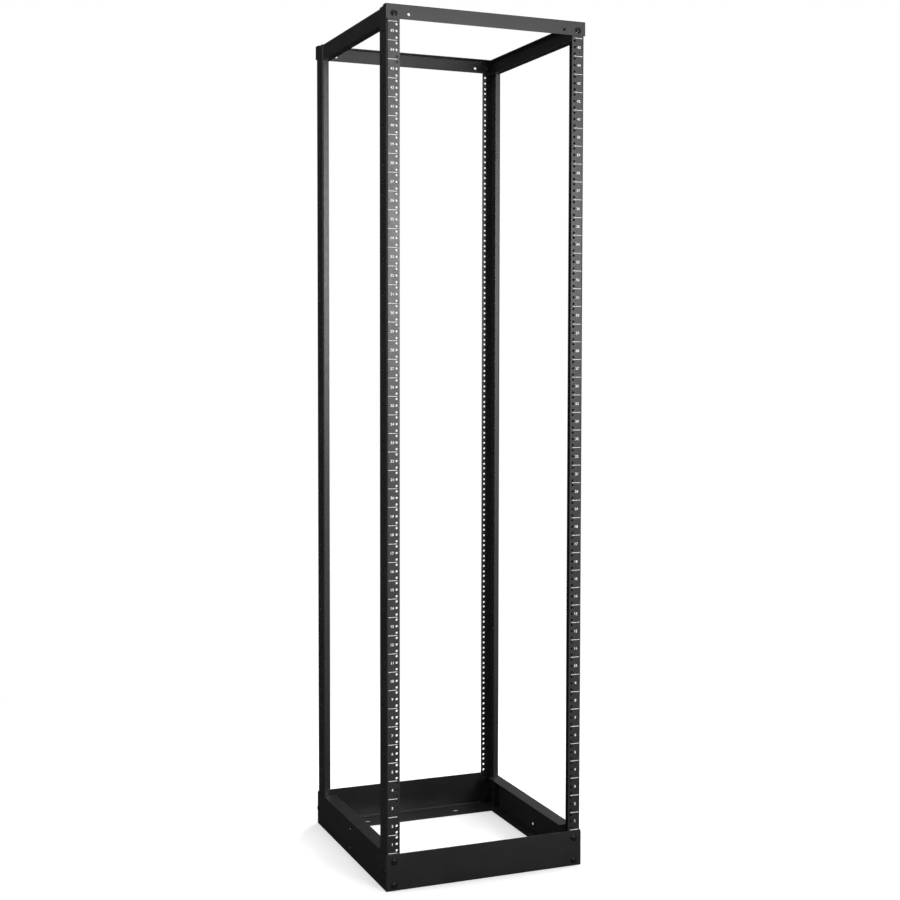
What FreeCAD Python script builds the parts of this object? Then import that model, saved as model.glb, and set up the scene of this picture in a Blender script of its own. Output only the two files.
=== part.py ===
"""Four post open frame rack: 45 rack units between folded channel posts, on a deep folded base.

Millimetres.  +X is the rack's right, +Y its rear, +Z up, with the origin on the floor at its middle.
"""
import FreeCAD, Part
import math
import os
import Sketcher

doc = FreeCAD.newDocument("four_post_rack")
sizes = doc.addObject("Spreadsheet::Sheet", "Sizes")

# ---------------------------------------------------------------- driving dimensions
DRIVING = {
    "rack_width": 516.0,          # over the outer webs of the posts
    "rack_depth": 609.6,          # over the mounting flanges, front to rear
    "rack_height": 2133.6,        # floor to the top of the cross rails
    "unit_pitch": 44.45,          # one rack unit
    "unit_count": 45,
    "unit_start": 92.25,          # floor to the lower line of unit 1
    "hole_spacing": 465.1,        # between the two columns of mounting holes
    "hole_low": 6.35,             # lower hole above its unit's lower line
    "hole_step": 15.875,          # from the lower to the middle and on to the upper hole
    "hole_size": 6.0,
    "post_sheet": 3.0,
    "post_flange": 33.0,          # mounting flange, over the web
    "post_web": 56.0,             # depth of the channel
    "post_lip": 15.0,             # stiffening lip, over the web
    "post_bend": 4.0,             # outer radius of the folds
    "web_hole": 9.0,
    "web_hole_set": 24.0,         # from the mounting face
    "web_slot_long": 14.0,
    "web_slot_wide": 8.0,
    "web_slot_set": 35.0,         # from the mounting face
    "slot_every": 7,              # rack units from one web slot to the next
    "slot_rows": 7,
    "base_sheet": 2.0,
    "base_height": 90.0,
    "base_foot": 85.0,            # floor flange of the front and rear panels, inside the panel
    "base_ledge": 33.0,           # top and bottom flanges of the side panels, inside the panel
    "base_corner": 5.0,
    "foot_slot_long": 18.0,
    "foot_slot_wide": 10.0,
    "foot_slot_out": 130.0,       # from the middle of the rack
    "foot_slot_set": 46.0,        # from the panel
    "join_hole": 9.0,             # holes for bolting racks side by side
    "join_low": 20.0,
    "join_high": 70.0,
    "rail_sheet": 2.0,
    "rail_height": 35.0,
    "rail_flange": 25.0,
    "rail_hole": 7.0,
    "rail_hole_out": 203.0,       # from the middle of the rack
    "rail_drop": 22.6,            # fixings below the top of the rack
    "side_drop": 3.0,             # side rails below the top of the rack
    "side_height": 40.6,
    "side_flange": 20.0,
    "side_tab": 26.0,
    "side_bend": 4.5,
    "bolt_size": 8.0,
    "bolt_play": 1.0,             # clearance hole over the bolt
    "bolt_out": 240.0,            # from the middle of the rack
    "bolt_low": 14.0,
    "bolt_high": 72.0,
    "side_bolt_set": 13.0,        # from the mounting face
    "side_bolt_high": 46.0,
    "head_size": 17.0,
    "head_high": 5.0,
    "head_round": 3.0,
    "nut_flats": 13.0,
    "nut_high": 6.5,
    "bolt_tip": 2.0,              # thread past the nut
    "fit": 0.5,                   # between pieces that pass and don't touch
}

for row, (name, value) in enumerate(DRIVING.items(), start=1):
    sizes.set(f"A{row}", name)
    sizes.set(f"B{row}", str(value))
    sizes.setAlias(f"B{row}", name)
doc.recompute()


def size(expression):
    """The value that an expression has now."""
    value = sizes.evalExpression(expression)
    return float(getattr(value, "Value", value))


def named(text):
    """A short expression with its sizes' names written out for the document's objects."""
    words = []
    word = ""
    for letter in text + " ":
        if letter.isalnum() or letter == "_":
            word += letter
        else:
            words.append("Sizes." + word if word in DRIVING else word)
            words.append(letter)
            word = ""
    return "".join(words).strip()


def mm(text):
    return f"({named(text)}) * 1 mm"


def signed(sign, text):
    """An expression with a sign that is +1 or -1."""
    return f"{sign}*({text})"


# ---------------------------------------------------------------- sketches and features
def new_body(name, x="0", y="0", z="0"):
    body = doc.addObject("PartDesign::Body", name)
    body.Label = name
    for axis, text in zip("xyz", (x, y, z)):
        body.setExpression(f"Placement.Base.{axis}", mm(text))
    return body


def new_sketch(body, name, plane, lift="0"):
    """A sketch on one of the body's origin planes, lifted along the plane's normal."""
    support = next(f for f in body.Origin.OriginFeatures if f.Role == plane)
    sketch = body.newObject("Sketcher::SketchObject", name)
    sketch.AttachmentSupport = (support, [""])
    sketch.MapMode = "FlatFace"
    sketch.setExpression("AttachmentOffset.Base.z", mm(lift))
    return sketch


def bind(sketch, constraint, text):
    index = sketch.addConstraint(constraint)
    sketch.setExpression(f"Constraints[{index}]", mm(text))


def pin(sketch, shape, point, x, y):
    """Hold a point of a shape at x, y from the sketch's origin."""
    for kind, axis, text in (("DistanceX", -2, x), ("DistanceY", -1, y)):
        value = size(text)
        if text == "0":
            sketch.addConstraint(Sketcher.Constraint("PointOnObject", shape, point, axis))
        else:
            bind(sketch, Sketcher.Constraint(kind, -1, 1, shape, point, value), text)


def outline(sketch, corners):
    """A closed outline of straight lines through corners given as expressions."""
    points = [FreeCAD.Vector(size(x), size(y), 0) for x, y in corners]
    count = len(points)
    first = sketch.GeometryCount
    for i in range(count):
        sketch.addGeometry(Part.LineSegment(points[i], points[(i + 1) % count]), False)
    for i in range(count):
        sketch.addConstraint(Sketcher.Constraint("Coincident", first + i, 2, first + (i + 1) % count, 1))
    for i, (x, y) in enumerate(corners):
        pin(sketch, first + i, 1, x, y)


def rectangle(sketch, x0, x1, y0, y1):
    outline(sketch, [(x0, y0), (x1, y0), (x1, y1), (x0, y1)])


def circle(sketch, x, y, across):
    centre = FreeCAD.Vector(size(x), size(y), 0)
    index = sketch.addGeometry(Part.Circle(centre, FreeCAD.Vector(0, 0, 1), size(across) / 2), False)
    pin(sketch, index, 3, x, y)
    bind(sketch, Sketcher.Constraint("Diameter", index, size(across)), across)


def slot(sketch, x, y, length, width, upright):
    """A slot with round ends, centred on x, y."""
    half = f"(({length}) - ({width}))/2"
    normal = FreeCAD.Vector(0, 0, 1)
    radius = size(width) / 2
    ends = []
    for sign in (1, -1):
        if upright:
            place = (x, f"{y} + {sign}*{half}")
            start = 0.0 if sign > 0 else math.pi
        else:
            place = (f"{x} + {sign}*{half}", y)
            start = -math.pi / 2 if sign > 0 else math.pi / 2
        centre = FreeCAD.Vector(size(place[0]), size(place[1]), 0)
        arc = Part.ArcOfCircle(Part.Circle(centre, normal, radius), start, start + math.pi)
        ends.append((sketch.addGeometry(arc, False), place, arc))
    (one, one_place, one_arc), (two, two_place, two_arc) = ends
    line_a = sketch.addGeometry(Part.LineSegment(one_arc.EndPoint, two_arc.StartPoint), False)
    line_b = sketch.addGeometry(Part.LineSegment(two_arc.EndPoint, one_arc.StartPoint), False)
    sketch.addConstraint(Sketcher.Constraint("Tangent", one, 2, line_a, 1))
    sketch.addConstraint(Sketcher.Constraint("Tangent", line_a, 2, two, 1))
    sketch.addConstraint(Sketcher.Constraint("Tangent", two, 2, line_b, 1))
    sketch.addConstraint(Sketcher.Constraint("Tangent", line_b, 2, one, 1))
    pin(sketch, one, 3, *one_place)
    pin(sketch, two, 3, *two_place)
    for index in (one, two):
        bind(sketch, Sketcher.Constraint("Radius", index, radius), f"({width})/2")


def pad(body, sketch, length, downward=False):
    feature = body.newObject("PartDesign::Pad", sketch.Name + "_pad")
    feature.Profile = sketch
    feature.setExpression("Length", mm(length))
    feature.Reversed = downward
    sketch.Visibility = False
    return feature


def cut(body, sketch, depth, along_normal):
    """A pocket from the sketch, against the sketch's normal or along it."""
    before = solid_volume(body)
    feature = body.newObject("PartDesign::Pocket", sketch.Name + "_cut")
    feature.Profile = sketch
    feature.setExpression("Length", mm(depth))
    feature.Reversed = along_normal
    sketch.Visibility = False
    if not solid_volume(body) < before:
        raise RuntimeError(f"{feature.Name} removes nothing")
    return feature


def solid_volume(body):
    doc.recompute()
    return body.Shape.Volume


def repeat_up(body, feature, sketch, count, pitch):
    """Repeat a feature along the sketch's upright axis."""
    before = solid_volume(body)
    pattern = body.newObject("PartDesign::LinearPattern", feature.Name + "_row")
    pattern.Originals = [feature]
    pattern.Direction = (sketch, ["V_Axis"])
    pattern.setExpression("Length", mm(f"({count} - 1)*({pitch})"))
    pattern.setExpression("Occurrences", named(count))
    body.Tip = pattern
    if not solid_volume(body) < before:
        raise RuntimeError(f"{pattern.Name} removes nothing")
    return pattern


def edges_through(shape, direction, points):
    """Names of the straight edges along a direction that pass through one of the points."""
    names = []
    for number, edge in enumerate(shape.Edges, start=1):
        if not isinstance(edge.Curve, Part.Line):
            continue
        if abs(abs(edge.Curve.Direction.dot(direction)) - 1) > 1e-6:
            continue
        middle = edge.valueAt((edge.FirstParameter + edge.LastParameter) / 2)
        for point in points:
            gap = middle - point
            gap = gap - direction * gap.dot(direction)
            if gap.Length < 1e-3:
                names.append(f"Edge{number}")
                break
    return names


def fold(body, name, direction, points, radius):
    """Round the edges along a direction through the points, each given as three expressions."""
    doc.recompute()
    base = body.Tip
    wanted = [FreeCAD.Vector(*(size(text) for text in point)) for point in points]
    names = edges_through(base.Shape, direction, wanted)
    if len(names) < len(points):
        raise RuntimeError(f"{name} finds {len(names)} of {len(points)} edges")
    feature = body.newObject("PartDesign::Fillet", name)
    feature.Base = (base, names)
    feature.setExpression("Radius", mm(radius))
    return feature


ALONG_X = FreeCAD.Vector(1, 0, 0)
ALONG_Y = FreeCAD.Vector(0, 1, 0)
ALONG_Z = FreeCAD.Vector(0, 0, 1)
SIDES = {"left": -1, "right": 1}
ENDS = {"front": -1, "rear": 1}


# ---------------------------------------------------------------- posts
def make_post(end, side):
    """A folded channel with its web outwards and its mounting flange at the rack's front or rear.

    Its origin is the post's outer corner, on top of the base's floor flange.
    """
    across = -SIDES[side]
    inward = -ENDS[end]
    name = f"post_{end}_{side}"
    body = new_body(name, signed(-across, "rack_width/2"), signed(-inward, "rack_depth/2"), "base_sheet")
    foot = "base_sheet"

    def x(text):
        return signed(across, text)

    def y(text):
        return signed(inward, text)

    profile = new_sketch(body, f"{name}_profile", "XY_Plane")
    outline(profile, [
        ("0", "0"),
        (x("post_flange"), "0"),
        (x("post_flange"), y("post_sheet")),
        (x("post_sheet"), y("post_sheet")),
        (x("post_sheet"), y("post_web - post_sheet")),
        (x("post_lip"), y("post_web - post_sheet")),
        (x("post_lip"), y("post_web")),
        ("0", y("post_web")),
    ])
    pad(body, profile, f"rack_height - rail_sheet - {foot}")
    fold(body, f"{name}_outer_folds", ALONG_Z, [("0", "0", "0"), ("0", y("post_web"), "0")], "post_bend")
    inner = [(x("post_sheet"), y("post_sheet"), "0"), (x("post_sheet"), y("post_web - post_sheet"), "0")]
    fold(body, f"{name}_inner_folds", ALONG_Z, inner, "post_bend - post_sheet")

    # The lip stops under the side rail, which runs through the channel's head.
    relief = new_sketch(body, f"{name}_relief", "XZ_Plane", signed(-inward, "post_web"))
    rail_low = "rack_height - side_drop - side_height - base_sheet"
    rectangle(relief, x("post_sheet"), x("post_lip + fit"), rail_low, "rack_height - base_sheet")
    cut(body, relief, "post_sheet", inward > 0)

    # Fixing holes: two at the base and one at the top through the flange, one through the web.
    fixings = new_sketch(body, f"{name}_fixings", "XZ_Plane")
    for height in ("bolt_low", "bolt_high", "rack_height - rail_drop"):
        circle(fixings, x("rack_width/2 - bolt_out"), f"{height} - {foot}", "bolt_size + bolt_play")
    cut(body, fixings, "post_sheet", inward < 0)
    side_fixing = new_sketch(body, f"{name}_side_fixing", "YZ_Plane")
    circle(side_fixing, y("side_bolt_set"), f"side_bolt_high - {foot}", "bolt_size + bolt_play")
    cut(body, side_fixing, "post_sheet", across > 0)

    # The web has a slot at the top of unit 1 and of each seventh unit above it, and a round
    # hole at the middle of every unit but those with a slot.
    slots = new_sketch(body, f"{name}_slot", "YZ_Plane")
    height = f"unit_start - {foot} + unit_pitch"
    slot(slots, y("web_slot_set"), height, "web_slot_long", "web_slot_wide", True)
    slot_cut = cut(body, slots, "post_sheet", across > 0)
    repeat_up(body, slot_cut, slots, "slot_rows", "slot_every*unit_pitch")
    middle = f"unit_start - {foot} + hole_low + hole_step"
    rows = DRIVING["slot_rows"]
    for group in range(rows):
        holes = new_sketch(body, f"{name}_web_{group + 1}", "YZ_Plane")
        height = f"{middle} + ({group}*slot_every + 1)*unit_pitch"
        circle(holes, y("web_hole_set"), height, "web_hole")
        hole_cut = cut(body, holes, "post_sheet", across > 0)
        count = "slot_every - 1"
        if group == rows - 1:
            count = "unit_count - (slot_rows - 1)*slot_every - 1"
        repeat_up(body, hole_cut, holes, count, "unit_pitch")

    # Three mounting holes a unit.
    column = "rack_width/2 - hole_spacing/2"
    units = new_sketch(body, f"{name}_unit", "XZ_Plane")
    for step in range(3):
        circle(units, x(column), f"unit_start - {foot} + hole_low + {step}*hole_step", "hole_size")
    unit_holes = cut(body, units, "post_sheet", inward < 0)
    repeat_up(body, unit_holes, units, "unit_count", "unit_pitch")
    return body


# ---------------------------------------------------------------- top rails
def make_cross_rail(end):
    """The front or rear rail: an angle bolted on the mounting flanges, its flange over the posts."""
    inward = -ENDS[end]
    name = f"top_rail_{end}"
    body = new_body(name, "0", signed(-inward, "rack_depth/2 + rail_sheet"), "rack_height")
    half = "rack_width/2 + rail_sheet"

    profile = new_sketch(body, f"{name}_profile", "YZ_Plane", signed(-1, half))
    outline(profile, [
        ("0", "0"),
        ("0", signed(-1, "rail_height")),
        (signed(inward, "rail_sheet"), signed(-1, "rail_height")),
        (signed(inward, "rail_sheet"), signed(-1, "rail_sheet")),
        (signed(inward, "rail_flange"), signed(-1, "rail_sheet")),
        (signed(inward, "rail_flange"), "0"),
    ])
    pad(body, profile, f"2*({half})")
    fold(body, f"{name}_fold", ALONG_X, [("0", "0", "0")], "rail_sheet")

    holes = new_sketch(body, f"{name}_holes", "XZ_Plane")
    for side in (-1, 1):
        circle(holes, signed(side, "bolt_out"), signed(-1, "rail_drop"), "bolt_size + bolt_play")
        circle(holes, signed(side, "rail_hole_out"), signed(-1, "rail_drop"), "rail_hole")
    cut(body, holes, "rail_sheet", inward < 0)
    return body


def make_side_rail(side):
    """A channel between the front and rear posts, with end tabs behind the mounting flanges."""
    across = -SIDES[side]
    name = f"top_rail_{side}"
    body = new_body(name, signed(-across, "rack_width/2 - post_sheet"), "0", "rack_height - side_drop")
    half = "rack_depth/2 - post_sheet"
    low = signed(-1, "side_height")

    def x(text):
        return signed(across, text)

    web = new_sketch(body, f"{name}_web", "XY_Plane", low)
    rectangle(web, "0", x("rail_sheet"), signed(-1, half), half)
    pad(body, web, "side_height")
    for level, lift, down in (("lower", low, False), ("upper", "0", True)):
        flange = new_sketch(body, f"{name}_{level}", "XY_Plane", lift)
        reach = f"{half} - side_bend"
        rectangle(flange, "0", x("side_flange"), signed(-1, reach), reach)
        pad(body, flange, "rail_sheet", down)
    for end, sign in ENDS.items():
        tab = new_sketch(body, f"{name}_{end}_tab", "XY_Plane", low)
        rectangle(tab, "0", x("side_tab"), signed(sign, f"{half} - rail_sheet"), signed(sign, half))
        pad(body, tab, "side_height")
    corners = [("0", signed(sign, half), "0") for sign in ENDS.values()]
    fold(body, f"{name}_end_folds", ALONG_Z, corners, "rail_sheet")

    for end, sign in ENDS.items():
        hole = new_sketch(body, f"{name}_{end}_hole", "XZ_Plane", signed(-sign, half))
        place = x("rack_width/2 - post_sheet - bolt_out")
        circle(hole, place, "side_drop - rail_drop", "bolt_size + bolt_play")
        cut(body, hole, "rail_sheet", sign > 0)
    return body


# ---------------------------------------------------------------- base
def make_base_end(end):
    """The front or rear base panel with its deep floor flange, on which the posts stand."""
    inward = -ENDS[end]
    name = f"base_panel_{end}"
    body = new_body(name, "0", signed(-inward, "rack_depth/2"), "0")
    half = "rack_width/2 + base_sheet"

    face = new_sketch(body, f"{name}_face", "XZ_Plane")
    rectangle(face, signed(-1, half), half, "0", "base_height")
    pad(body, face, "base_sheet", inward < 0)
    corners = [(signed(sign, half), "0", "base_height") for sign in (-1, 1)]
    fold(body, f"{name}_corners", ALONG_Y, corners, "base_corner")
    foot = new_sketch(body, f"{name}_foot", "XY_Plane")
    flat = "rack_width/2"
    rectangle(foot, signed(-1, flat), flat, signed(inward, "-base_sheet/2"), signed(inward, "base_foot"))
    pad(body, foot, "base_sheet")

    slots = new_sketch(body, f"{name}_slots", "XY_Plane", "base_sheet")
    holes = new_sketch(body, f"{name}_holes", "XZ_Plane")
    for side in (-1, 1):
        out = signed(side, "foot_slot_out")
        slot(slots, out, signed(inward, "foot_slot_set"), "foot_slot_long", "foot_slot_wide", False)
        for height in ("bolt_low", "bolt_high"):
            circle(holes, signed(side, "bolt_out"), height, "bolt_size + bolt_play")
    cut(body, slots, "base_sheet", False)
    cut(body, holes, "base_sheet", inward > 0)
    return body


def make_base_side(side):
    """A side base panel: a channel on edge, its flanges cut back to clear the posts."""
    across = -SIDES[side]
    name = f"base_panel_{side}"
    body = new_body(name, signed(-across, "rack_width/2"), "0", "0")

    web = new_sketch(body, f"{name}_web", "YZ_Plane")
    rectangle(web, signed(-1, "rack_depth/2"), "rack_depth/2", "0", "base_height")
    pad(body, web, "base_sheet", across > 0)
    ledges = (
        ("floor", "0", False, "rack_depth/2 - base_foot - fit"),
        ("ledge", "base_height", True, "rack_depth/2 - post_web - fit"),
    )
    for label, lift, down, reach in ledges:
        flange = new_sketch(body, f"{name}_{label}", "XY_Plane", lift)
        outer = signed(-across, "base_sheet/2")
        rectangle(flange, outer, signed(across, "base_ledge"), signed(-1, reach), reach)
        pad(body, flange, "base_sheet", down)

    holes = new_sketch(body, f"{name}_holes", "YZ_Plane")
    for sign in ENDS.values():
        place = signed(sign, "rack_depth/2 - side_bolt_set")
        circle(holes, place, "side_bolt_high", "bolt_size + bolt_play")
    for height in ("join_low", "join_high"):
        circle(holes, "0", height, "join_hole")
    cut(body, holes, "base_sheet", across < 0)
    return body


# ---------------------------------------------------------------- bolts
def make_bolt(name, grip, place, axis, angle):
    """A round headed bolt with its nut.  It is made along +Z, with the head's seat at z = 0."""
    body = new_body(name, *place)
    body.Placement.Rotation = FreeCAD.Rotation(axis, angle)
    end = f"{grip} + nut_high + bolt_tip"

    shape = new_sketch(body, f"{name}_shape", "XZ_Plane")
    outline(shape, [
        ("0", "head_high"),
        ("0", signed(-1, end)),
        ("bolt_size/2", signed(-1, end)),
        ("bolt_size/2", "0"),
        ("head_size/2", "0"),
        ("head_size/2", "head_high - head_round"),
        ("head_size/2 - head_round", "head_high"),
    ])
    turned = body.newObject("PartDesign::Revolution", f"{name}_turned")
    turned.Profile = shape
    turned.ReferenceAxis = (shape, ["V_Axis"])
    turned.Angle = 360.0
    shape.Visibility = False

    nut = new_sketch(body, f"{name}_nut", "XY_Plane", signed(-1, grip))
    corner = "nut_flats/2/cos(30)"
    outline(nut, [
        (corner, "0"),
        (f"{corner}/2", "nut_flats/2"),
        (f"-{corner}/2", "nut_flats/2"),
        (f"-{corner}", "0"),
        (f"-{corner}/2", "-nut_flats/2"),
        (f"{corner}/2", "-nut_flats/2"),
    ])
    pad(body, nut, "nut_high", True)
    return body


def make_bolts():
    """The bolts of the four corners: one at the top, two at the base and one through each side."""
    for end, y_sign in ENDS.items():
        for side, x_sign in SIDES.items():
            corner = f"{end}_{side}"
            out = signed(x_sign, "bolt_out")
            top = (out, signed(y_sign, "rack_depth/2 + rail_sheet"), "rack_height - rail_drop")
            make_bolt(f"top_bolt_{corner}", "(2*rail_sheet + post_sheet)", top, ALONG_X, -90 * y_sign)
            for level in ("low", "high"):
                place = (out, signed(y_sign, "rack_depth/2 + base_sheet"), f"bolt_{level}")
                label = f"base_bolt_{corner}_{level}"
                make_bolt(label, "(base_sheet + post_sheet)", place, ALONG_X, -90 * y_sign)
            beside = signed(y_sign, "rack_depth/2 - side_bolt_set")
            place = (signed(x_sign, "rack_width/2 + base_sheet"), beside, "side_bolt_high")
            make_bolt(f"side_bolt_{corner}", "(base_sheet + post_sheet)", place, ALONG_Y, 90 * x_sign)


# ---------------------------------------------------------------- the rack
for side_name in SIDES:
    for end_name in ENDS:
        make_post(end_name, side_name)
    make_side_rail(side_name)
    make_base_side(side_name)
for end_name in ENDS:
    make_cross_rail(end_name)
    make_base_end(end_name)
make_bolts()
doc.recompute()

os.makedirs("parts", exist_ok=True)
bodies = [item for item in doc.Objects if item.TypeId == "PartDesign::Body"]
for item in doc.Objects:
    if "Invalid" in item.State or "Error" in item.State:
        raise RuntimeError(f"{item.Name} is {item.State}")
for body in bodies:
    if body.Shape.isNull() or not body.Shape.isValid() or len(body.Shape.Solids) != 1:
        raise RuntimeError(f"{body.Label} is not one valid solid")
for body in bodies:
    body.Shape.exportStep(f"parts/{body.Label}.step")
print(len(bodies), "parts")
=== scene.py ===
"""Looks of the four post open frame rack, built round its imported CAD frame. Metres, same frame as the CAD."""
import math
import random

import bmesh
import bpy
from mathutils import Matrix, Vector


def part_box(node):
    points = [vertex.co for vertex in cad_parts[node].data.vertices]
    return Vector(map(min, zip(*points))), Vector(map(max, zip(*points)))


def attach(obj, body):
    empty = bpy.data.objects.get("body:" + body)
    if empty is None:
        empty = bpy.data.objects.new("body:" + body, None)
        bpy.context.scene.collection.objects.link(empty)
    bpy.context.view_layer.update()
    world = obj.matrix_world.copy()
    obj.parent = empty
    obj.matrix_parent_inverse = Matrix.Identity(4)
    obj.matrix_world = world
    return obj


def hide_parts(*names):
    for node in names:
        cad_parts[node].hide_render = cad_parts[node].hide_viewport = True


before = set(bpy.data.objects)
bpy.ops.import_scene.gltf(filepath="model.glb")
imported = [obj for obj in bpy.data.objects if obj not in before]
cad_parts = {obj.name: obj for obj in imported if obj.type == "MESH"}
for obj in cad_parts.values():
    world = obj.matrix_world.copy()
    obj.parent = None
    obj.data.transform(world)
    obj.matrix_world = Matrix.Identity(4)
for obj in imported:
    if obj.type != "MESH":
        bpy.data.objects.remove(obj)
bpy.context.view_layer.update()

MM = 0.001
UNIT = 44.45 * MM                     # one rack unit
UNIT_COUNT = 45
UNIT_START = 92.25 * MM               # floor to the lower line of unit 1
SCENE = bpy.context.scene
SHARP = math.radians(32)              # smooth shading stops at sharper edges than this


# ---------------------------------------------------------------- helpers
def node(tree, kind, inputs=None, **settings):
    """A shader node; inputs maps a socket's name or index to a value or to another node's output."""
    made = tree.nodes.new(kind)
    for name, value in settings.items():
        setattr(made, name, value)
    for key, value in (inputs or {}).items():
        if isinstance(value, bpy.types.NodeSocket):
            tree.links.new(value, made.inputs[key])
        else:
            made.inputs[key].default_value = value
    return made


def math_node(tree, operation, *values):
    return node(tree, "ShaderNodeMath", dict(enumerate(values)), operation=operation).outputs[0]


def remap(tree, value, low, high, to_low=0.0, to_high=1.0):
    inputs = {"Value": value, "From Min": low, "From Max": high, "To Min": to_low, "To Max": to_high}
    return node(tree, "ShaderNodeMapRange", inputs).outputs["Result"]


def noise(tree, place, scale, detail=2.0, roughness=0.5):
    inputs = {"Vector": place, "Scale": scale, "Detail": detail, "Roughness": roughness}
    return node(tree, "ShaderNodeTexNoise", inputs).outputs["Fac"]


def blend_colour(tree, factor, one, two):
    """Colour one where the factor is 0 and colour two where it is 1."""
    inputs = {0: factor, 6: (*one, 1.0) if isinstance(one, tuple) else one,
              7: (*two, 1.0) if isinstance(two, tuple) else two}
    return node(tree, "ShaderNodeMix", inputs, data_type="RGBA").outputs[2]


def new_material(name):
    material = bpy.data.materials.new(name)
    material.use_nodes = True
    material.node_tree.nodes.clear()
    return material, material.node_tree


def edge_mask(tree, radius, low, high):
    """1 on the edges of the metal and 0 on its flats: where a rounded normal leaves the true one."""
    rounded = node(tree, "ShaderNodeBevel", {"Radius": radius}, samples=6)
    true = node(tree, "ShaderNodeNewGeometry").outputs["Normal"]
    dot = node(tree, "ShaderNodeVectorMath", {0: rounded.outputs[0], 1: true}, operation="DOT_PRODUCT")
    away = math_node(tree, "SUBTRACT", 1.0, dot.outputs["Value"])
    return remap(tree, away, low, high), rounded.outputs[0]


# ---------------------------------------------------------------- materials
def powder_coat(name, dark, light, worn):
    """Satin black powder coat: fine grain, slight mottling, thin coat and rub marks along the edges."""
    material, tree = new_material(name)
    place = node(tree, "ShaderNodeTexCoord").outputs["Object"]
    edge, rounded = edge_mask(tree, 0.9 * MM, 0.03, 0.30)
    rub = remap(tree, noise(tree, place, 90.0, 4.0, 0.65), 0.42, 0.72)
    wear = math_node(tree, "MULTIPLY", edge, rub)
    cloud = remap(tree, noise(tree, place, 7.0, 5.0, 0.6), 0.3, 0.7)
    coat = blend_colour(tree, cloud, dark, light)
    speck = remap(tree, noise(tree, place, 900.0, 1.0), 0.68, 0.78)
    coat = blend_colour(tree, math_node(tree, "MULTIPLY", speck, 0.35), coat, worn)
    coat = blend_colour(tree, wear, coat, worn)

    satin = remap(tree, noise(tree, place, 40.0, 4.0, 0.6), 0.3, 0.7, 0.32, 0.37)
    satin = math_node(tree, "SUBTRACT", satin, math_node(tree, "MULTIPLY", wear, 0.12))

    grain = noise(tree, place, 1500.0, 2.0, 0.6)
    peel = noise(tree, place, 260.0, 2.0, 0.5)
    height = math_node(tree, "ADD", math_node(tree, "MULTIPLY", grain, 0.45), peel)
    bump = node(tree, "ShaderNodeBump", {
        "Strength": 0.35, "Distance": 0.12 * MM, "Height": height, "Normal": rounded,
    })
    shader = node(tree, "ShaderNodeBsdfPrincipled", {
        "Base Color": coat, "Roughness": satin, "Normal": bump.outputs[0],
        "IOR": 1.5, "Specular IOR Level": 0.36,
    })
    node(tree, "ShaderNodeOutputMaterial", {"Surface": shader.outputs[0]})
    return material


def black_oxide():
    """The bolts: blackened steel, smoother than the coat, bright where the key and the rim are rubbed."""
    material, tree = new_material("black_oxide")
    place = node(tree, "ShaderNodeTexCoord").outputs["Object"]
    edge, rounded = edge_mask(tree, 0.35 * MM, 0.02, 0.22)
    rub = remap(tree, noise(tree, place, 420.0, 4.0, 0.6), 0.4, 0.7)
    wear = math_node(tree, "MULTIPLY", edge, rub)
    stain = remap(tree, noise(tree, place, 240.0, 3.0, 0.6), 0.3, 0.7)
    colour = blend_colour(tree, stain, (0.006, 0.006, 0.0065), (0.011, 0.0105, 0.0105))
    colour = blend_colour(tree, wear, colour, (0.14, 0.136, 0.13))
    rough = remap(tree, stain, 0.0, 1.0, 0.17, 0.25)
    grain = noise(tree, place, 2600.0, 2.0)
    bump = node(tree, "ShaderNodeBump", {
        "Strength": 0.2, "Distance": 0.05 * MM, "Height": grain, "Normal": rounded,
    })
    shader = node(tree, "ShaderNodeBsdfPrincipled", {
        "Base Color": colour, "Roughness": rough, "Normal": bump.outputs[0], "Metallic": wear,
        "Specular IOR Level": 0.25,
    })
    node(tree, "ShaderNodeOutputMaterial", {"Surface": shader.outputs[0]})
    return material


def printed_ink():
    """White screen print over the grain of the coat, a little thin in places."""
    material, tree = new_material("printed_ink")
    place = node(tree, "ShaderNodeTexCoord").outputs["Object"]
    thin = remap(tree, noise(tree, place, 650.0, 3.0, 0.6), 0.55, 0.75)
    colour = blend_colour(tree, thin, (0.80, 0.81, 0.81), (0.42, 0.43, 0.43))
    height = noise(tree, place, 1500.0, 2.0, 0.6)
    bump = node(tree, "ShaderNodeBump", {"Strength": 0.25, "Distance": 0.08 * MM, "Height": height})
    rough = remap(tree, thin, 0.0, 1.0, 0.62, 0.72)
    shader = node(tree, "ShaderNodeBsdfPrincipled", {
        "Base Color": colour, "Roughness": rough, "Normal": bump.outputs[0],
    })
    node(tree, "ShaderNodeOutputMaterial", {"Surface": shader.outputs[0]})
    return material


COAT = powder_coat("powder_coat", (0.0112, 0.0115, 0.0119), (0.0155, 0.0160, 0.0163), (0.050, 0.051, 0.052))
OXIDE = black_oxide()
INK = printed_ink()


# ---------------------------------------------------------------- objects
def new_object(name, mesh, material):
    """An object from a finished bmesh, in the scene with its material."""
    data = bpy.data.meshes.new(name)
    mesh.to_mesh(data)
    mesh.free()
    data.materials.append(material)
    obj = bpy.data.objects.new(name, data)
    SCENE.collection.objects.link(obj)
    return obj


for name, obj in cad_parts.items():
    obj.data.materials.clear()
    obj.data.materials.append(OXIDE if "bolt" in name else COAT)


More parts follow.
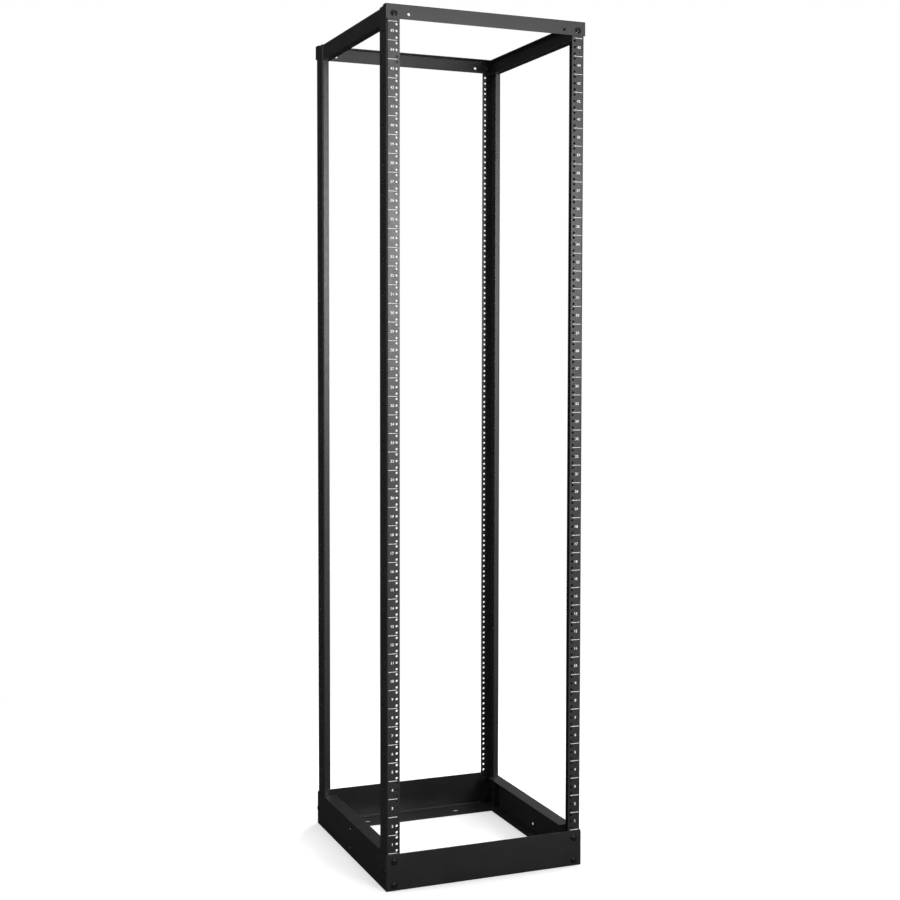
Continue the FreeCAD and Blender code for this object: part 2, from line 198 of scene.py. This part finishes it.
# ---------------------------------------------------------------- bolts
HEAD_FACES = 48                       # round a bolt or nut
HEAD_HIGH = 5.0 * MM                  # from the seat to the end of the CAD bolt's head
SOCKET_FLATS = 5.0 * MM
SOCKET_FLOOR = 1.9 * MM               # heights in the head are above the seat
SOCKET_CHAMFER = 0.25 * MM
DOME = [  # radius and height in millimetres, from the socket to the flange
    (3.6, 4.68), (4.4, 4.5), (5.2, 4.1), (5.9, 3.5), (6.4, 2.75), (6.65, 2.0), (6.75, 1.55), (6.95, 1.35),
]
FLANGE = [(7.8, 1.25), (8.2, 1.12), (8.42, 0.85), (8.48, 0.5), (8.4, 0.12), (8.25, 0.0), (4.0, 0.0)]
SHANK = 4.0 * MM                      # outer radius of the thread
THREAD_PITCH = 1.25 * MM
THREAD_DEEP = 0.72 * MM
THREAD_TURNED = 20                    # rings along the thread's end
THREAD_END = 3.1 * MM                 # radius of the bolt's end face
TIP = 2.0 * MM                        # thread past the nut
NUT_HIGH = 6.5 * MM
NUT_FLATS = 13.0 * MM
NUT_ROUND = 6.45 * MM                 # radius of the nut's round faces, inside its corners
NUT_SLOPE = 0.55                      # of the chamfer at its corners
GRIPS = {"top": 7 * MM, "base": 5 * MM, "side": 5 * MM}


def hexagon(angle, flats):
    """Radius of a hexagon at an angle."""
    sector = math.radians(60)
    return flats / 2 / math.cos(angle % sector - sector / 2)


def ring(mesh, radius, height):
    """Points round the axis; radius and height are numbers or functions of the angle."""
    points = []
    for i in range(HEAD_FACES):
        angle = 2 * math.pi * i / HEAD_FACES
        away = radius(angle) if callable(radius) else radius
        up = height(angle) if callable(height) else height
        points.append(mesh.verts.new((away * math.cos(angle), away * math.sin(angle), up)))
    return points


def lathe(mesh, rings):
    """Faces between successive rings, and over the first and last ones."""
    for one, two in zip(rings, rings[1:]):
        for i in range(HEAD_FACES):
            j = (i + 1) % HEAD_FACES
            mesh.faces.new((one[i], one[j], two[j], two[i]))
    mesh.faces.new(list(reversed(rings[0])))
    mesh.faces.new(rings[-1])


def bolt_mesh(name, grip):
    """Flanged button head bolt with a hexagon socket, its thread's end and its nut, along +Z, seat at 0."""
    mesh = bmesh.new()

    def socket(angle):
        return hexagon(angle, SOCKET_FLATS)

    rings = [
        ring(mesh, socket, SOCKET_FLOOR),
        ring(mesh, socket, 4.45 * MM),
        ring(mesh, lambda angle: socket(angle) + SOCKET_CHAMFER, 4.7 * MM),
    ]
    for away, up in DOME + FLANGE:
        rings.append(ring(mesh, away * MM, up * MM))
    top = -grip
    low = -(grip + NUT_HIGH)
    threaded = low + 1.0 * MM
    rings.append(ring(mesh, SHANK, threaded))
    end = low - TIP
    for step in range(1, THREAD_TURNED + 1):
        up = threaded + (end + 0.6 * MM - threaded) * step / THREAD_TURNED

        def thread(angle, up=up):
            wave = (up / THREAD_PITCH + angle / (2 * math.pi)) % 1.0
            return SHANK - THREAD_DEEP * (1 - abs(2 * wave - 1))
        rings.append(ring(mesh, thread, up))
    rings.append(ring(mesh, THREAD_END, end))
    lathe(mesh, rings)

    def corner(angle):
        return hexagon(angle, NUT_FLATS)

    def chamfer(angle):
        return (corner(angle) - NUT_ROUND) * NUT_SLOPE

    lathe(mesh, [
        ring(mesh, 4.1 * MM, top),
        ring(mesh, NUT_ROUND, top),
        ring(mesh, corner, lambda angle: top - chamfer(angle)),
        ring(mesh, corner, lambda angle: low + chamfer(angle)),
        ring(mesh, NUT_ROUND, low),
        ring(mesh, 4.5 * MM, low),
        ring(mesh, SHANK, low + 0.5 * MM),
    ])
    bmesh.ops.recalc_face_normals(mesh, faces=mesh.faces)
    data = bpy.data.meshes.new(name)
    mesh.to_mesh(data)
    mesh.free()
    data.shade_smooth()
    data.set_sharp_from_angle(angle=SHARP)
    data.materials.append(OXIDE)
    return data


def place_bolts():
    """A detailed bolt and nut in the place of each plain CAD one, its socket turned at random."""
    turns = random.Random(7)
    meshes = {kind: bolt_mesh(f"{kind}_bolt_shape", grip) for kind, grip in GRIPS.items()}
    for name in sorted(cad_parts):
        if "_bolt_" not in name:
            continue
        kind, _, end, side = name.split("_")[:4]
        low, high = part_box(name)
        seat = (low + high) / 2
        if kind == "side":
            out = Vector((1 if side == "right" else -1, 0, 0))
            seat.x = high.x - HEAD_HIGH if side == "right" else low.x + HEAD_HIGH
        else:
            out = Vector((0, 1 if end == "rear" else -1, 0))
            seat.y = high.y - HEAD_HIGH if end == "rear" else low.y + HEAD_HIGH
        bolt = bpy.data.objects.new(name.replace("_bolt_", "_screw_"), meshes[kind])
        SCENE.collection.objects.link(bolt)
        turn = Matrix.Rotation(turns.uniform(0, math.pi / 3), 4, "Z")
        aim = out.to_track_quat("Z", "Y").to_matrix().to_4x4()
        bolt.matrix_world = Matrix.Translation(seat) @ aim @ turn
        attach(bolt, "root")
        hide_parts(name)


place_bolts()


# ---------------------------------------------------------------- folds
BASE_SHEET = 2.0 * MM
FOLD_RADIUS = 4.0 * MM
FOLD_SUNK = 0.3 * MM                  # into the sheet behind the fold
FOLD_STEPS = 8


def fold_bead(end):
    """The inner radius of the fold between a base panel's face and its foot, from post to post."""
    low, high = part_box(f"base_panel_{end}")
    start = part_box(f"post_{end}_left")[1].x
    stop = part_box(f"post_{end}_right")[0].x
    if end == "front":
        face, inward = low.y + BASE_SHEET, 1
    else:
        face, inward = high.y - BASE_SHEET, -1
    section = [(-FOLD_SUNK, -FOLD_SUNK)]
    for step in range(FOLD_STEPS + 1):
        angle = math.radians(90) * step / FOLD_STEPS
        section.append((FOLD_RADIUS * (1 - math.sin(angle)), FOLD_RADIUS * (1 - math.cos(angle))))
    mesh = bmesh.new()
    ends = [[mesh.verts.new((x, face + inward * away, low.z + BASE_SHEET + up)) for away, up in section]
            for x in (start, stop)]
    for i in range(len(section)):
        j = (i + 1) % len(section)
        mesh.faces.new((ends[0][i], ends[0][j], ends[1][j], ends[1][i]))
    mesh.faces.new(ends[0])
    mesh.faces.new(ends[1])
    bmesh.ops.recalc_face_normals(mesh, faces=mesh.faces)
    bead = new_object(f"base_fold_{end}", mesh, COAT)
    bead.data.shade_smooth()
    bead.data.set_sharp_from_angle(angle=SHARP)
    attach(bead, "root")


for end_name in ("front", "rear"):
    fold_bead(end_name)


# ---------------------------------------------------------------- unit lines and numbers
INK_THICK = 0.06 * MM
LINE_INNER = 231.6 * MM               # from the middle of the rack
LINE_OUTER = 253.9 * MM
LINE_WIDE = 1.3 * MM
NUMBER_OUT = 244.0 * MM
NUMBER_HIGH = 6.2 * MM
NUMBER_BOLD = 0.26 * MM               # thickening of the strokes
DIGIT_SHARE = 0.70                    # a digit's height in the font's size


def number_meshes():
    """One flat mesh for each of the numbers 1 to 45, centred on the origin in the XY plane."""
    made = []
    for value in range(1, UNIT_COUNT + 1):
        curve = bpy.data.curves.new(f"number_{value}", "FONT")
        curve.body = str(value)
        curve.size = NUMBER_HIGH / DIGIT_SHARE
        curve.align_x = "CENTER"
        curve.align_y = "CENTER"
        curve.space_character = 1.1
        curve.offset = NUMBER_BOLD
        curve.extrude = INK_THICK / 2
        curve.resolution_u = 3
        holder = bpy.data.objects.new(curve.name, curve)
        SCENE.collection.objects.link(holder)
        bpy.context.view_layer.update()
        graph = bpy.context.evaluated_depsgraph_get()
        data = bpy.data.meshes.new_from_object(holder.evaluated_get(graph))
        bpy.data.objects.remove(holder)
        bpy.data.curves.remove(curve)
        made.append(data)
    return made


def unit_marks(end, side, numbers):
    """The printed lines and numbers of one post, on its mounting flange."""
    low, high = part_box(f"post_{end}_{side}")
    across = 1 if side == "right" else -1
    if end == "front":
        face, facing, along = low.y, -1, 1
    else:
        face, facing, along = high.y, 1, -1
    mesh = bmesh.new()
    surface = face + facing * INK_THICK / 2
    turn = Matrix(((along, 0, 0, 0), (0, 0, facing, 0), (0, 1, 0, 0), (0, 0, 0, 1)))
    for count in range(UNIT_COUNT + 1):
        up = UNIT_START + count * UNIT
        middle = Vector((across * (LINE_INNER + LINE_OUTER) / 2, surface, up))
        span = Matrix.Diagonal((LINE_OUTER - LINE_INNER, INK_THICK, LINE_WIDE, 1))
        bmesh.ops.create_cube(mesh, size=1, matrix=Matrix.Translation(middle) @ span)
    for count, data in enumerate(numbers):
        up = UNIT_START + (count + 0.5) * UNIT
        before = len(mesh.verts)
        mesh.from_mesh(data)
        mesh.verts.ensure_lookup_table()
        fresh = mesh.verts[before:]
        wide = [v.co.x for v in fresh]
        tall = [v.co.y for v in fresh]
        centre = Vector(((min(wide) + max(wide)) / 2, (min(tall) + max(tall)) / 2, 0))
        place = Matrix.Translation((across * NUMBER_OUT, surface, up))
        move = place @ turn @ Matrix.Translation(-centre)
        bmesh.ops.transform(mesh, matrix=move, verts=fresh)
    bmesh.ops.recalc_face_normals(mesh, faces=mesh.faces)
    marks = new_object(f"unit_marks_{end}_{side}", mesh, INK)
    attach(marks, "root")


NUMBERS = number_meshes()
for end_name in ("front", "rear"):
    for side_name in ("left", "right"):
        unit_marks(end_name, side_name, NUMBERS)


# ---------------------------------------------------------------- floor, world and lights
FLOOR_HALF = 30.0
FLOOR_DROP = 0.4 * MM                 # the floor lies this far under the feet
SHADOW_FULL = 0.7                     # the shadow is whole up to here from the middle
SHADOW_GONE = 2.4


def seen(tree):
    """1 for the camera and for what it sees by reflection or through glass."""
    path = node(tree, "ShaderNodeLightPath").outputs
    both = math_node(tree, "MAXIMUM", path["Is Camera Ray"], path["Is Glossy Ray"])
    return math_node(tree, "MAXIMUM", both, path["Is Transmission Ray"])


def make_floor():
    """A matt floor that keeps the soft shadow near the rack and is plain white further out."""
    material, tree = new_material("studio_floor")
    place = node(tree, "ShaderNodeTexCoord").outputs["Object"]
    away = node(tree, "ShaderNodeVectorMath", {0: place}, operation="LENGTH").outputs["Value"]
    inputs = {"Value": away, "From Min": SHADOW_FULL, "From Max": SHADOW_GONE}
    far = node(tree, "ShaderNodeMapRange", inputs, interpolation_type="SMOOTHSTEP").outputs["Result"]
    matt = node(tree, "ShaderNodeBsdfDiffuse", {"Color": (0.88, 0.88, 0.88, 1.0)})
    lift = node(tree, "ShaderNodeEmission", {"Strength": math_node(tree, "MULTIPLY", seen(tree), 0.32)})
    near = node(tree, "ShaderNodeAddShader", {0: matt.outputs[0], 1: lift.outputs[0]})
    white = node(tree, "ShaderNodeEmission", {"Strength": 1.0})
    whiter = math_node(tree, "MULTIPLY", far, seen(tree))
    mixed = node(tree, "ShaderNodeMixShader", {0: whiter, 1: near.outputs[0], 2: white.outputs[0]})
    node(tree, "ShaderNodeOutputMaterial", {"Surface": mixed.outputs[0]})
    mesh = bmesh.new()
    bmesh.ops.create_grid(mesh, x_segments=1, y_segments=1, size=FLOOR_HALF)
    floor = new_object("studio_floor", mesh, material)
    floor.location = (0, 0, -FLOOR_DROP)


def make_world():
    """Soft light from all round, white where it is seen."""
    world = bpy.data.worlds.new("studio")
    world.use_nodes = True
    tree = world.node_tree
    tree.nodes.clear()
    plain = node(tree, "ShaderNodeBackground", {"Color": (1, 1, 1, 1), "Strength": 0.45})
    white = node(tree, "ShaderNodeBackground", {"Color": (1, 1, 1, 1), "Strength": 1.0})
    mixed = node(tree, "ShaderNodeMixShader", {0: seen(tree), 1: plain.outputs[0], 2: white.outputs[0]})
    node(tree, "ShaderNodeOutputWorld", {"Surface": mixed.outputs[0]})
    SCENE.world = world


def softbox(name, place, target, size, power):
    """A square lamp of the given size that faces the target."""
    lamp = bpy.data.lights.new(name, "AREA")
    lamp.size = size
    lamp.energy = power
    box = bpy.data.objects.new(name, lamp)
    box.location = place
    aim = Vector(target) - Vector(place)
    box.rotation_euler = aim.to_track_quat("-Z", "Y").to_euler()
    box.visible_camera = False
    SCENE.collection.objects.link(box)


def make_cards():
    """Black cards beside and behind the rack and on the floor round it, which only reflections see."""
    material, tree = new_material("black_card")
    place = node(tree, "ShaderNodeTexCoord").outputs["Object"]
    felt = blend_colour(tree, noise(tree, place, 300.0), (0.010, 0.010, 0.010), (0.016, 0.016, 0.016))
    shader = node(tree, "ShaderNodeBsdfDiffuse", {"Color": felt})
    node(tree, "ShaderNodeOutputMaterial", {"Surface": shader.outputs[0]})
    wide, front, back, high, low = 1.6, -1.4, 1.6, 3.2, -0.2 * MM
    corners = [(-wide, front, low), (wide, front, low), (wide, back, low), (-wide, back, low)]
    mesh = bmesh.new()
    floor = [mesh.verts.new(c) for c in corners]
    top = [mesh.verts.new((x, y, high)) for x, y, _ in corners]
    mesh.faces.new(floor)
    for i in (1, 2, 3):
        j = (i + 1) % 4
        mesh.faces.new((floor[i], floor[j], top[j], top[i]))
    cards = new_object("studio_cards", mesh, material)
    cards.visible_camera = False
    cards.visible_diffuse = False
    cards.visible_shadow = False


make_floor()
make_world()
make_cards()
softbox("front_softbox", (1.2, -4.3, 1.85), (0, -0.3, 1.4), 1.1, 100)
softbox("top_softbox", (0, 0, 4.2), (0, 0, 0), 2.4, 34)
softbox("rear_softbox", (2.8, 3.6, 3.0), (0, 0.3, 1.2), 1.6, 90)
softbox("left_softbox", (-4.0, 0.4, 2.4), (0, 0, 1.1), 1.6, 55)
softbox("right_softbox", (4.2, 0.4, 2.4), (0, 0, 1.1), 1.6, 55)


# ---------------------------------------------------------------- camera
# Fitted to corners, unit lines and holes measured in the photograph.
CAMERA_PLACE = (-1.4356, -3.9255, 1.3211)
CAMERA_HEADING = -24.272              # degrees
CAMERA_PITCH = -2.854
CAMERA_ROLL = 0.282
LENS = 63.323                         # millimetres, as the sensor's width
SENSOR_WIDE = 36
SHIFT = (-0.1222, -0.0256)            # the camera's sideways and upward shift


def make_camera():
    """The camera stands in front of the rack, to its left and a little above half its height."""
    data = bpy.data.cameras.new("camera")
    data.lens = LENS
    data.sensor_width = SENSOR_WIDE
    data.shift_x, data.shift_y = SHIFT
    data.clip_end = 100
    camera = bpy.data.objects.new("camera", data)
    heading = Matrix.Rotation(math.radians(CAMERA_HEADING), 4, "Z")
    tilt = Matrix.Rotation(math.radians(90 + CAMERA_PITCH), 4, "X")
    roll = Matrix.Rotation(math.radians(CAMERA_ROLL), 4, "Z")
    camera.matrix_world = Matrix.Translation(CAMERA_PLACE) @ heading @ tilt @ roll
    SCENE.collection.objects.link(camera)
    SCENE.camera = camera


make_camera()
SCENE.view_settings.view_transform = "Standard"
